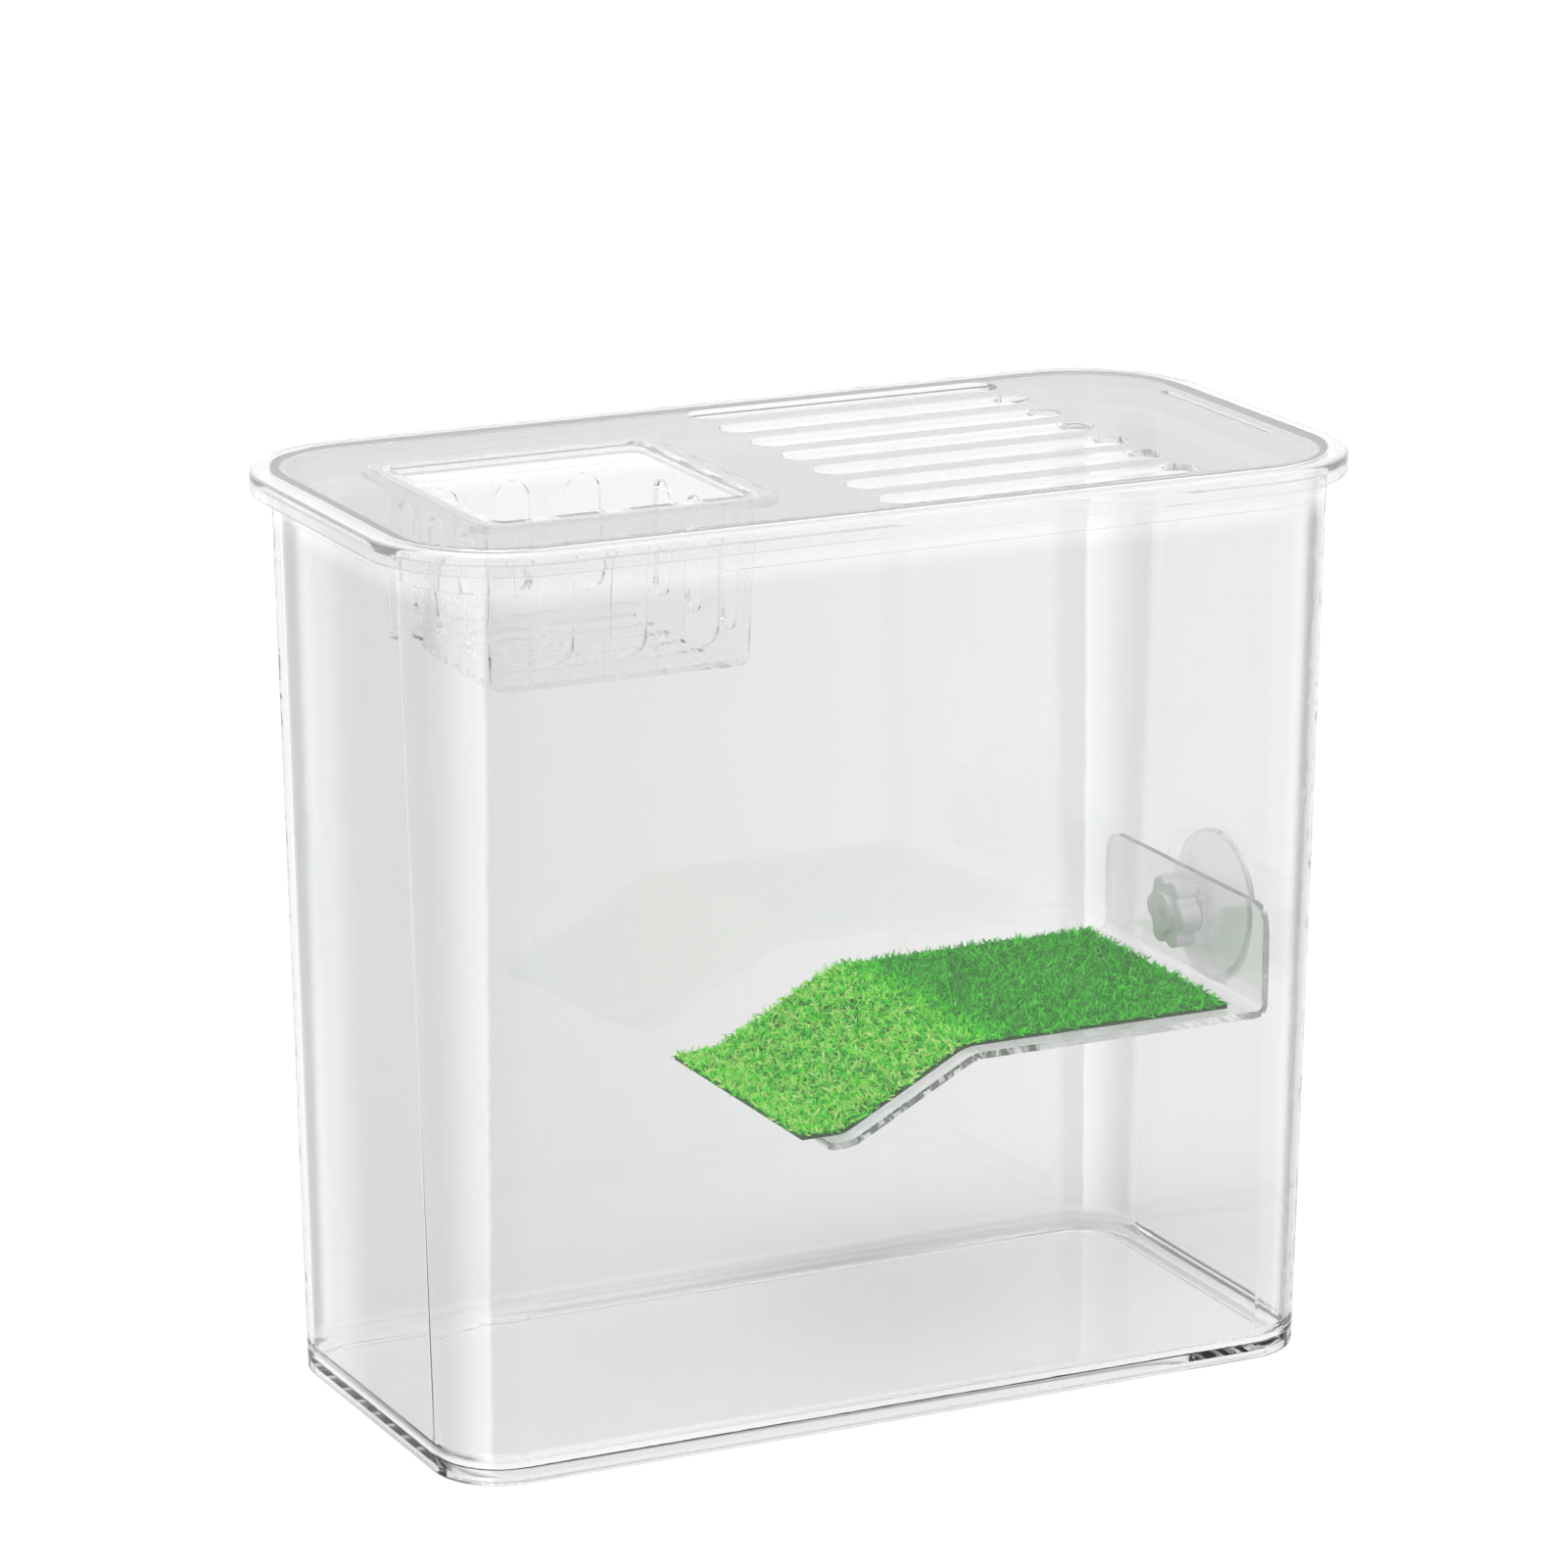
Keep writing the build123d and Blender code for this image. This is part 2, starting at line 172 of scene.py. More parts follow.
link(path.outputs["Is Transmission Ray"], bent.inputs[1])
link(path.outputs["Is Camera Ray"], shown.inputs[0])
link(bent.outputs[0], shown.inputs[1])
link(shown.outputs[0], choose.inputs["Fac"])
link(ambient.outputs[0], choose.inputs[1])
link(seen.outputs[0], choose.inputs[2])
link(choose.outputs[0], out.inputs["Surface"])

for name, lamp in studio["lamps"].items():
    light = bpy.data.lights.new(name, "SUN")
    light.energy = lamp["strength"]
    light.angle = math.radians(lamp["spread"])
    bulb = bpy.data.objects.new(name, light)
    bulb.location = lamp["from"]
    bulb.rotation_euler = Vector(lamp["from"]).to_track_quat("Z", "Y").to_euler()
    scene.collection.objects.link(bulb)

scene.cycles.max_bounces = studio["bounces"]
scene.cycles.transmission_bounces = studio["bounces"]
scene.cycles.glossy_bounces = studio["bounces"]
scene.cycles.diffuse_bounces = studio["bounces"]
scene.cycles.transparent_max_bounces = studio["bounces"]

floorMesh = bpy.data.meshes.new("floor")
reach = studio["floorSize"] / 2
corners = [(-reach, -reach, 0), (reach, -reach, 0), (reach, reach, 0), (-reach, reach, 0)]
floorMesh.from_pydata(corners, [], [(0, 1, 2, 3)])
floor = bpy.data.objects.new("floor", floorMesh)
scene.collection.objects.link(floor)
floor.location.z = -studio["floorGap"]
floorLook, tree = newMaterial("pale_floor")
link = tree.links.new
out = addNode(tree, "ShaderNodeOutputMaterial", (700, 0))
board = addNode(tree, "ShaderNodeBsdfPrincipled", (350, 0))
board.inputs["Base Color"].default_value = (*studio["floorColour"], 1)
board.inputs["Roughness"].default_value = studio["floorRoughness"]
board.inputs["Specular IOR Level"].default_value = 0.0
board.inputs["Emission Color"].default_value = (1, 1, 1, 1)
path = addNode(tree, "ShaderNodeLightPath", (-300, 0))
shown = addNode(tree, "ShaderNodeMath", (0, 0), operation="MAXIMUM")
lift = addNode(tree, "ShaderNodeMath", (190, 0), operation="MULTIPLY")
lift.inputs[1].default_value = studio["floorLift"]
link(path.outputs["Is Camera Ray"], shown.inputs[0])
link(path.outputs["Is Transmission Ray"], shown.inputs[1])
link(shown.outputs[0], lift.inputs[0])
link(lift.outputs[0], board.inputs["Emission Strength"])
link(board.outputs[0], out.inputs["Surface"])
dress(floor, floorLook)
print("studio lit")


# clear plastics: tint with painted light and shade by how the wall faces, how high it is and where it
# stands, painted highlight on rounded edges, highlight lines frosted onto the rims, painted shade on
# undersides at the corners, faint moulding flow and haze in the gloss


def grey(value):
    return (value, value + 0.003, value + 0.003)


def clearPlastic(name, look):
    mat, tree = newMaterial(name)
    link = tree.links.new
    out = addNode(tree, "ShaderNodeOutputMaterial", (1300, 0))
    byRay = addNode(tree, "ShaderNodeMixShader", (1100, 0))
    shell = addNode(tree, "ShaderNodeBsdfPrincipled", (750, -50))
    shell.inputs["IOR"].default_value = look["ior"]
    through = addNode(tree, "ShaderNodeBsdfTransparent", (750, 150))
    through.inputs["Color"].default_value = (*look["lampTint"], 1)
    path = addNode(tree, "ShaderNodeLightPath", (500, 400))
    opened = addNode(tree, "ShaderNodeMath", (750, 350), operation="MAXIMUM")
    link(path.outputs["Is Shadow Ray"], opened.inputs[0])
    link(path.outputs["Is Diffuse Ray"], opened.inputs[1])
    link(opened.outputs[0], byRay.inputs["Fac"])
    link(shell.outputs[0], byRay.inputs[1])
    link(through.outputs[0], byRay.inputs[2])
    link(byRay.outputs[0], out.inputs["Surface"])

    where = addNode(tree, "ShaderNodeTexCoord", (-1300, -200))
    stretch = addNode(tree, "ShaderNodeMapping", (-1100, -300))
    stretch.inputs["Scale"].default_value = look["flowStretch"]
    flow = addNode(tree, "ShaderNodeTexNoise", (-900, -300))
    flow.inputs["Scale"].default_value = look["flowScale"]
    flow.inputs["Detail"].default_value = look["flowDetail"]
    ripple = addNode(tree, "ShaderNodeBump", (450, -400))
    ripple.inputs["Strength"].default_value = look["flowBump"]
    ripple.inputs["Distance"].default_value = look["flowDepth"]
    haze = addRange(tree, (200, -300), given=look["roughness"])
    link(where.outputs["Object"], stretch.inputs["Vector"])
    link(stretch.outputs["Vector"], flow.inputs["Vector"])
    link(flow.outputs["Fac"], ripple.inputs["Height"])
    link(flow.outputs["Fac"], haze.inputs["Value"])
    link(haze.outputs["Result"], shell.inputs["Roughness"])
    link(ripple.outputs["Normal"], shell.inputs["Normal"])

    lie = addNode(tree, "ShaderNodeNewGeometry", (-1300, 350))
    size = addNode(tree, "ShaderNodeVectorMath", (-1120, 350), operation="ABSOLUTE")
    facing = addNode(tree, "ShaderNodeSeparateXYZ", (-940, 350))
    plan = addNode(tree, "ShaderNodeSeparateXYZ", (-1120, 550))
    heading = addNode(tree, "ShaderNodeMath", (-1000, 650), operation="ARCTAN2")
    around = addRange(tree, (-860, 650), taken=(0.0, math.pi), given=(1.0, 2.0), clamp=False)
    folded = addNode(tree, "ShaderNodeMath", (-780, 550), operation="FRACT")
    # tint with painted light and shade by heading: bright bands and darker stretches around the walls
    tintAndLightByHeading = addNode(tree, "ShaderNodeValToRGB", (-720, 450))
    setRamp(tintAndLightByHeading, [(at / 180, grey(value)) for at, value in look["tintAndLightByHeading"]])
    # painted light and shade on faces that look up or down
    level = addRange(tree, (-720, 200), taken=look["levelFrom"])
    body = addNode(tree, "ShaderNodeMix", (-420, 350), data_type="RGBA")
    body.inputs["B"].default_value = (*look["level"], 1)
    # painted light: paler by height, along flat walls and towards the back near the low end
    place = addNode(tree, "ShaderNodeSeparateXYZ", (-1100, -80))
    tall = addNode(tree, "ShaderNodeMath", (-980, -80), operation="DIVIDE")
    tall.inputs[1].default_value = look["fadeHeight"]
    rise = addNode(tree, "ShaderNodeValToRGB", (-900, -80))
    setRamp(rise, greys(look["paintedLightByHeight"], last=look["fadeHeight"]))
    paler = addNode(tree, "ShaderNodeMix", (-180, 250), data_type="RGBA")
    paler.inputs["B"].default_value = (1, 1, 1, 1)
    # painted highlight on rounded edges
    edgeHighlight = addNode(tree, "ShaderNodeValToRGB", (-720, -20))
    setRamp(edgeHighlight, greys(look["rounding"]))
    across = addRange(tree, (-900, -560), taken=look["across"], given=(0.0, look["acrossShare"]))
    squarest = addNode(tree, "ShaderNodeMath", (-800, -700), operation="MAXIMUM")
    flats = addRange(tree, (-800, -620), taken=look["flatFrom"])
    onFlats = addNode(tree, "ShaderNodeMath", (-720, -560), operation="MULTIPLY")
    deeper = addRange(tree, (-900, -400), taken=look["deeper"], given=(0.0, look["deeperShare"]))
    nearEnd = addRange(tree, (-900, -480), taken=look["nearEnd"])
    farCorner = addNode(tree, "ShaderNodeMath", (-800, -480), operation="MULTIPLY")
    bothWays = addNode(tree, "ShaderNodeMath", (-640, -480), operation="ADD")
    lighter = addNode(tree, "ShaderNodeMath", (-540, -300), operation="ADD", use_clamp=True)
    bright = addNode(tree, "ShaderNodeMix", (60, 200), data_type="RGBA")
    bright.inputs["B"].default_value = (*look["edgeHighlight"], 1)
    # painted shade on undersides at chosen headings
    under = addNode(tree, "ShaderNodeValToRGB", (-720, -760))
    setRamp(under, greys(look["undercut"]))
    whole = addRange(tree, (-860, -900), taken=(-math.pi, math.pi))
    darkSides = addNode(tree, "ShaderNodeValToRGB", (-720, -1000))
    setRamp(darkSides, greys(look["undercutSides"], first=-180, last=180))
    shade = addNode(tree, "ShaderNodeMath", (-480, -800), operation="MULTIPLY")
    turned = addRange(tree, (-900, -760), taken=(-1, 1))
    paintedUnderShade = addNode(tree, "ShaderNodeMix", (180, 320), data_type="RGBA")
    paintedUnderShade.inputs["B"].default_value = (*look["paintedUnderShade"], 1)
    mottle = addNode(tree, "ShaderNodeMix", (300, 120), data_type="RGBA", blend_type="MULTIPLY")
    mottle.inputs["Factor"].default_value = look["mottle"]
    # highlight lines painted by frosting up-facing roundings and the top of the rim
    highlightFrost = addNode(tree, "ShaderNodeValToRGB", (0, -120))
    setRamp(highlightFrost, greys(look["highlightFrost"]))
    rimHighlight = addRange(tree, (0, -250), taken=look["rim"], given=(0.0, look["rimHighlightHaze"]))
    milky = addNode(tree, "ShaderNodeMath", (180, -180), operation="MAXIMUM")
    clear = addRange(tree, (300, -120), given=look["clear"])
    link(lie.outputs["Normal"], size.inputs[0])
    link(size.outputs["Vector"], facing.inputs[0])
    link(lie.outputs["Normal"], plan.inputs[0])
    link(plan.outputs["Y"], heading.inputs[0])
    link(plan.outputs["X"], heading.inputs[1])
    link(heading.outputs[0], around.inputs["Value"])
    link(around.outputs["Result"], folded.inputs[0])
    link(folded.outputs[0], tintAndLightByHeading.inputs["Fac"])
    link(facing.outputs["Z"], level.inputs["Value"])
    link(facing.outputs["Z"], edgeHighlight.inputs["Fac"])
    link(tintAndLightByHeading.outputs["Color"], body.inputs["A"])
    link(level.outputs["Result"], body.inputs["Factor"])
    link(where.outputs["Object"], place.inputs[0])
    link(place.outputs["Z"], tall.inputs[0])
    link(tall.outputs[0], rise.inputs["Fac"])
    link(body.outputs["Result"], paler.inputs["A"])
    link(place.outputs["X"], across.inputs["Value"])
    link(facing.outputs["X"], squarest.inputs[0])
    link(facing.outputs["Y"], squarest.inputs[1])
    link(squarest.outputs[0], flats.inputs["Value"])
    link(place.outputs["Y"], deeper.inputs["Value"])
    link(place.outputs["X"], nearEnd.inputs["Value"])
    link(deeper.outputs["Result"], farCorner.inputs[0])
    link(nearEnd.outputs["Result"], farCorner.inputs[1])
    link(across.outputs["Result"], bothWays.inputs[0])
    link(farCorner.outputs[0], bothWays.inputs[1])
    link(bothWays.outputs[0], onFlats.inputs[0])
    link(flats.outputs["Result"], onFlats.inputs[1])
    link(rise.outputs["Color"], lighter.inputs[0])
    link(onFlats.outputs[0], lighter.inputs[1])
    link(lighter.outputs[0], paler.inputs["Factor"])
    link(paler.outputs["Result"], bright.inputs["A"])
    link(edgeHighlight.outputs["Color"], bright.inputs["Factor"])
    link(plan.outputs["Z"], turned.inputs["Value"])
    link(turned.outputs["Result"], under.inputs["Fac"])
    link(heading.outputs[0], whole.inputs["Value"])
    link(whole.outputs["Result"], darkSides.inputs["Fac"])
    link(under.outputs["Color"], shade.inputs[0])
    link(darkSides.outputs["Color"], shade.inputs[1])
    link(bright.outputs["Result"], paintedUnderShade.inputs["A"])
    link(shade.outputs[0], paintedUnderShade.inputs["Factor"])
    link(paintedUnderShade.outputs["Result"], mottle.inputs["A"])
    link(flow.outputs["Color"], mottle.inputs["B"])
    link(mottle.outputs["Result"], shell.inputs["Base Color"])
    link(turned.outputs["Result"], highlightFrost.inputs["Fac"])
    link(place.outputs["Z"], rimHighlight.inputs["Value"])
    link(highlightFrost.outputs["Color"], milky.inputs[0])
    link(rimHighlight.outputs["Result"], milky.inputs[1])
    link(milky.outputs[0], clear.inputs["Value"])
    link(clear.outputs["Result"], shell.inputs["Transmission Weight"])
    return mat


clearAll = {  # heights and places in metres, shares from 0 to 1
    "ior": 1.5,
    "tintAndLightByHeading": [(0, 0.99), (180, 0.99)],  # plastic tint and painted light by heading, in degrees: 0 the ends, 90 the front and back
    # colour of faces that look up or down: the plastic's tint with painted light and shade
    "level": grey(0.95),
    "levelFrom": (0.85, 0.98),  # 0 is upright and 1 looks straight up or down, also in rounding
    "rounding": [(0.1, 0.0), (0.28, 1.0), (0.995, 1.0), (1.0, 0.0)],  # where it takes the painted edge highlight
    "edgeHighlight": grey(0.97),
    "highlightFrost": [(0.945, 0.0), (0.975, 1.0), (0.9965, 1.0), (1.0, 0.0)],  # highlight lines painted by frosting up-facing roundings; 0 looks down, 1 up
    "clear": (1.0, 0.25),  # see-through share, unfrosted and frosted for highlight lines
    "paintedLightByHeight": [(0.0, 0.0), (0.26, 0.0)],  # painted light by height
    "fadeHeight": 0.26,
    "across": (-1.0, 1.0),  # painted light along the length of flat walls
    "acrossShare": 0.0,
    "deeper": (-1.0, 1.0),  # painted light towards the back, near the low end only
    "deeperShare": 0.0,
    "nearEnd": (-0.1, -0.115),
    "flatFrom": (0.97, 0.995),
    "undercut": [(0.02, 0.0), (0.44, 0.0)],  # painted shade on undersides, by slope as in the highlight frost and by heading
    "undercutSides": [(-180, 0), (180, 0)],
    "paintedUnderShade": grey(0.5),
    "rim": (1.0, 2.0),  # heights over which the painted highlight haze of the rim begins
    "rimHighlightHaze": 0.0,
    "mottle": 0.03,
    "lampTint": grey(0.97),  # what is left of lamplight behind a wall
    "flowStretch": (1.0, 1.0, 1.0),
    "flowDetail": 2.0,
    "flowDepth": 0.0002,
    "roughness": (0.0, 0.03),
}

# frosting that paints highlight lines on the shoulders of the rims, shared by tank, lid and basket
rimHighlightFrost = [(0.62, 0.0), (0.72, 0.3), (0.84, 0.5), (0.9, 1.0)]

clearLooks = {
    "tank": {
        # painted light and shade by heading: bright bands at the corners, darker ends and a dark
        # stretch
        "tintAndLightByHeading": [
            (0, 0.7),
            (20, 0.7),
            (33, 0.77),
            (47, 0.9),
            (59, 0.99),
            (61.5, 0.76),
            (76, 0.77),
            (90, 0.785),
            (98, 0.86),
            (111, 0.99),
            (116, 0.85),
            (122, 0.46),
            (131, 0.44),
            (139, 0.9),
            (150, 0.87),
            (165, 0.75),
            (180, 0.7),
        ],
        "highlightFrost": rimHighlightFrost + [(0.9965, 1.0), (1.0, 0.0)],
        # painted light on the tank's floor
        "level": grey(0.97),
        "edgeHighlight": grey(0.99),
        # painted light, paler towards the rim
        "paintedLightByHeight": [(0.04, 0.1), (0.127, 0.12), (0.235, 0.11), (0.241, 0.75), (0.252, 0.75)],
        "across": (-0.14, 0.14),
        "acrossShare": 0.45,
        "deeper": (0.0, 0.055),
        "deeperShare": 0.8,
        # painted shade on the undersides of the corners
        "undercut": [(0.02, 0.0), (0.08, 1.0), (0.36, 1.0), (0.44, 0.0)],
        "undercutSides": [
            (-180, 1),
            (-140, 1),
            (-125, 0),
            (-65, 0),
            (-55, 1),
            (-30, 1),
            (-18, 0),
            (125, 0),
            (140, 1),
            (180, 1),
        ],
        "paintedUnderShade": grey(0.08),
        "rim": (0.2415, 0.2425),
        "rimHighlightHaze": 0.11,
        "lampTint": grey(0.985),
        "flowStretch": (1.0, 1.0, 0.25),
        "flowScale": 18.0,
        "flowBump": 0.012,
        "flowDepth": 0.0003,
    },
    "lid": {
        "highlightFrost": rimHighlightFrost + [(0.9965, 1.0), (1.0, 0.0)],
        # painted shade on the lid's flat top
        "level": grey(0.68),
        "edgeHighlight": grey(0.98),
        "rim": (0.2415, 0.2425),
        "rimHighlightHaze": 0.11,
        "flowStretch": (0.4, 1.0, 1.0),
        "flowScale": 22.0,
        "flowBump": 0.012,
        "flowDepth": 0.0003,
        "roughness": (0.0, 0.04),
    },
    "basket": {
        "highlightFrost": rimHighlightFrost + [(0.996, 1.0), (1.0, 0.45)],
        "level": grey(0.985),
        "edgeHighlight": grey(0.99),
        "clear": (1.0, 0.4),
        "mottle": 0.01,
        "lampTint": grey(0.985),
        "flowStretch": (1.0, 1.0, 0.5),
        "flowScale": 40.0,
        "flowBump": 0.015,
        "roughness": (0.01, 0.05),
    },
    "platform": {
        "tintAndLightByHeading": [(0, 0.9), (90, 0.95), (180, 0.9)],
        "clear": (0.95, 0.85),
        "flowStretch": (1.0, 0.5, 1.0),
        "flowScale": 30.0,
        "flowBump": 0.015,
    },
    "suction_cup": {
        "ior": 1.45,
        "tintAndLightByHeading": [(0, 0.96), (180, 0.96)],
        "clear": (0.75, 0.7),
        "mottle": 0.04,
        "lampTint": grey(0.95),
        "flowScale": 60.0,
        "flowBump": 0.1,
        "roughness": (0.08, 0.16),
    },
}

for name, look in clearLooks.items():
    dress(nodes[name], clearPlastic("clear_" + name, {**clearAll, **look}))
print("clear plastics dressed")


# knob: milky moulding that light soaks into

knobLook = {
    "colour": (0.93, 0.93, 0.93),
    "shade": (0.87, 0.87, 0.875),
    "tones": (0.3, 0.7),
    "grain": 220.0,
    "clear": 0.35,
    "ior": 1.49,
    "roughness": (0.25, 0.38),
    "bump": 0.15,
    "bumpDepth": 0.0002,
}

mat, tree = newMaterial("milky_knob")
link = tree.links.new
out = addNode(tree, "ShaderNodeOutputMaterial", (700, 0))
milk = addNode(tree, "ShaderNodeBsdfPrincipled", (400, 0))
milk.inputs["Transmission Weight"].default_value = knobLook["clear"]
milk.inputs["IOR"].default_value = knobLook["ior"]
where = addNode(tree, "ShaderNodeTexCoord", (-500, 0))
grain = addNode(tree, "ShaderNodeTexNoise", (-300, 0))
grain.inputs["Scale"].default_value = knobLook["grain"]
tone = addNode(tree, "ShaderNodeValToRGB", (-50, 150))
setRamp(tone, list(zip(knobLook["tones"], (knobLook["shade"], knobLook["colour"]))))
matt = addRange(tree, (-50, -100), given=knobLook["roughness"])
bump = addNode(tree, "ShaderNodeBump", (150, -200))
bump.inputs["Strength"].default_value = knobLook["bump"]
bump.inputs["Distance"].default_value = knobLook["bumpDepth"]
link(where.outputs["Object"], grain.inputs["Vector"])
link(grain.outputs["Fac"], tone.inputs["Fac"])
link(grain.outputs["Fac"], matt.inputs["Value"])
link(grain.outputs["Fac"], bump.inputs["Height"])
link(tone.outputs["Color"], milk.inputs["Base Color"])
link(matt.outputs["Result"], milk.inputs["Roughness"])
link(bump.outputs["Normal"], milk.inputs["Normal"])
link(milk.outputs[0], out.inputs["Surface"])
dress(nodes["knob"], mat)


# stud: plated steel with fine turning lines round its axis

studLook = {
    "colour": (0.62, 0.63, 0.65),
    "worn": (0.5, 0.51, 0.53),
    "tones": (0.35, 0.65),
    "lines": 900.0,
    "stretch": (1.0, 0.05, 0.05),
    "roughness": (0.18, 0.35),
}

mat, tree = newMaterial("plated_stud")
link = tree.links.new
out = addNode(tree, "ShaderNodeOutputMaterial", (700, 0))
steel = addNode(tree, "ShaderNodeBsdfPrincipled", (400, 0))
steel.inputs["Metallic"].default_value = 1.0
where = addNode(tree, "ShaderNodeTexCoord", (-700, 0))
stretch = addNode(tree, "ShaderNodeMapping", (-500, 0))
stretch.inputs["Scale"].default_value = studLook["stretch"]
lines = addNode(tree, "ShaderNodeTexNoise", (-300, 0))
lines.inputs["Scale"].default_value = studLook["lines"]
tone = addNode(tree, "ShaderNodeValToRGB", (-50, 150))
setRamp(tone, list(zip(studLook["tones"], (studLook["worn"], studLook["colour"]))))
matt = addRange(tree, (-50, -100), given=studLook["roughness"])
link(where.outputs["Object"], stretch.inputs["Vector"])
link(stretch.outputs["Vector"], lines.inputs["Vector"])
link(lines.outputs["Fac"], tone.inputs["Fac"])
link(lines.outputs["Fac"], matt.inputs["Value"])
link(tone.outputs["Color"], steel.inputs["Base Color"])
link(matt.outputs["Result"], steel.inputs["Roughness"])
link(steel.outputs[0], out.inputs["Surface"])
dress(nodes["cup_stud"], mat)
print("knob and stud dressed")


# turf: woven backing, and blades grown over it; painted lighter and more speckled on the ramp, the
# palest specks partly painted glints

turfLook = {
    "bladesPerSquareMm": 2.4,
    "bladeHeight": 0.0026,
    "heightSpread": 0.3,
    "bladeWidth": 0.00085,
    "bladeRows": 4,
    "bladeTaper": 0.25,
    "lean": 1.5,
    "bend": 0.001,
    "seed": 11,
    "slope": (0.02, 0.045),  # metres along the length, from the ramp's top to the shelf
    # painted light that lifts the ramp's tones over the shelf's
    "rampPaintedLight": (0.17, 0.07),
    "speckle": (0.28, 0.22),
    "clumps": 420.0,
    "clumpDetail": 1.0,
    "clumpFrom": (0.37, 0.63),
    "clumpSpeckle": (0.72, 0.16),
    "rootShare": 0.4,
    "root": (0.02, 0.75, 0.003),
    "deep": (0.01, 0.34, 0.003),
    "middle": (0.07, 0.98, 0.004),
    "light": (0.3, 1.0, 0.03),
    # palest tone: partly the blades' own pale tone, partly painted glints
    "paleAndGlint": (0.7, 1.0, 0.28),
    "tones": (0.2, 0.42, 0.62, 0.85),  # where deep, middle, light and the palest tone, partly painted glints, stand
    "roughness": 0.38,
    "gloss": 0.4,
    "sheen": 0.8,
    "sheenRoughness": 0.45,
    "sheenTint": (0.4, 1.0, 0.25),
    "backing": (0.04, 0.2, 0.03),
    "backingShade": 0.5,
    "backingTones": (0.1, 0.8),
    "backingRoughness": 0.75,
    "weave": 260.0,
    "weaveWobble": 0.6,
    "weaveBump": 0.5,
    "weaveDepth": 0.0003,
    "mergeWithin": 0.00001,
    "flatWithin": 0.5,  # degrees
    "growsAbove": 0.5,  # how far up a face has to look to carry blades
}


def backingMesh():
    base = nodes["turf_backing"].data.copy()
    base.name = "turf_backing_sheet"
    work = bmesh.new()
    work.from_mesh(base)
    bmesh.ops.remove_doubles(work, verts=work.verts, dist=turfLook["mergeWithin"])
    flat = math.radians(turfLook["flatWithin"])
    bmesh.ops.dissolve_limit(work, angle_limit=flat, verts=work.verts, edges=work.edges)
    work.to_mesh(base)
    work.free()
    if "custom_normal" in base.attributes:  # stored normals no longer fit the merged faces
        base.attributes.remove(base.attributes["custom_normal"])
    base.update()
    return base


def backingMaterial():
    mat, tree = newMaterial("turf_backing_weave")
    link = tree.links.new
    out = addNode(tree, "ShaderNodeOutputMaterial", (700, 0))
    cloth = addNode(tree, "ShaderNodeBsdfPrincipled", (400, 0))
    cloth.inputs["Roughness"].default_value = turfLook["backingRoughness"]
    where = addNode(tree, "ShaderNodeTexCoord", (-900, 0))
    warp = addNode(tree, "ShaderNodeTexWave", (-600, 150), wave_type="BANDS", bands_direction="X")
    weft = addNode(tree, "ShaderNodeTexWave", (-600, -150), wave_type="BANDS", bands_direction="Y")
    for wave in (warp, weft):
        wave.inputs["Scale"].default_value = turfLook["weave"]
        wave.inputs["Distortion"].default_value = turfLook["weaveWobble"]
        link(where.outputs["Object"], wave.inputs["Vector"])
    weave = addNode(tree, "ShaderNodeMath", (-350, 0), operation="MULTIPLY")
    tone = addNode(tree, "ShaderNodeValToRGB", (-100, 150))
    threads = turfLook["backing"]
    hollows = tuple(turfLook["backingShade"] * part for part in threads)
    setRamp(tone, list(zip(turfLook["backingTones"], (hollows, threads))))
    bump = addNode(tree, "ShaderNodeBump", (150, -200))
    bump.inputs["Strength"].default_value = turfLook["weaveBump"]
    bump.inputs["Distance"].default_value = turfLook["weaveDepth"]
    link(warp.outputs["Fac"], weave.inputs[0])
    link(weft.outputs["Fac"], weave.inputs[1])
    link(weave.outputs[0], tone.inputs["Fac"])
    link(weave.outputs[0], bump.inputs["Height"])
    link(tone.outputs["Color"], cloth.inputs["Base Color"])
    link(bump.outputs["Normal"], cloth.inputs["Normal"])
    link(cloth.outputs[0], out.inputs["Surface"])
    return mat


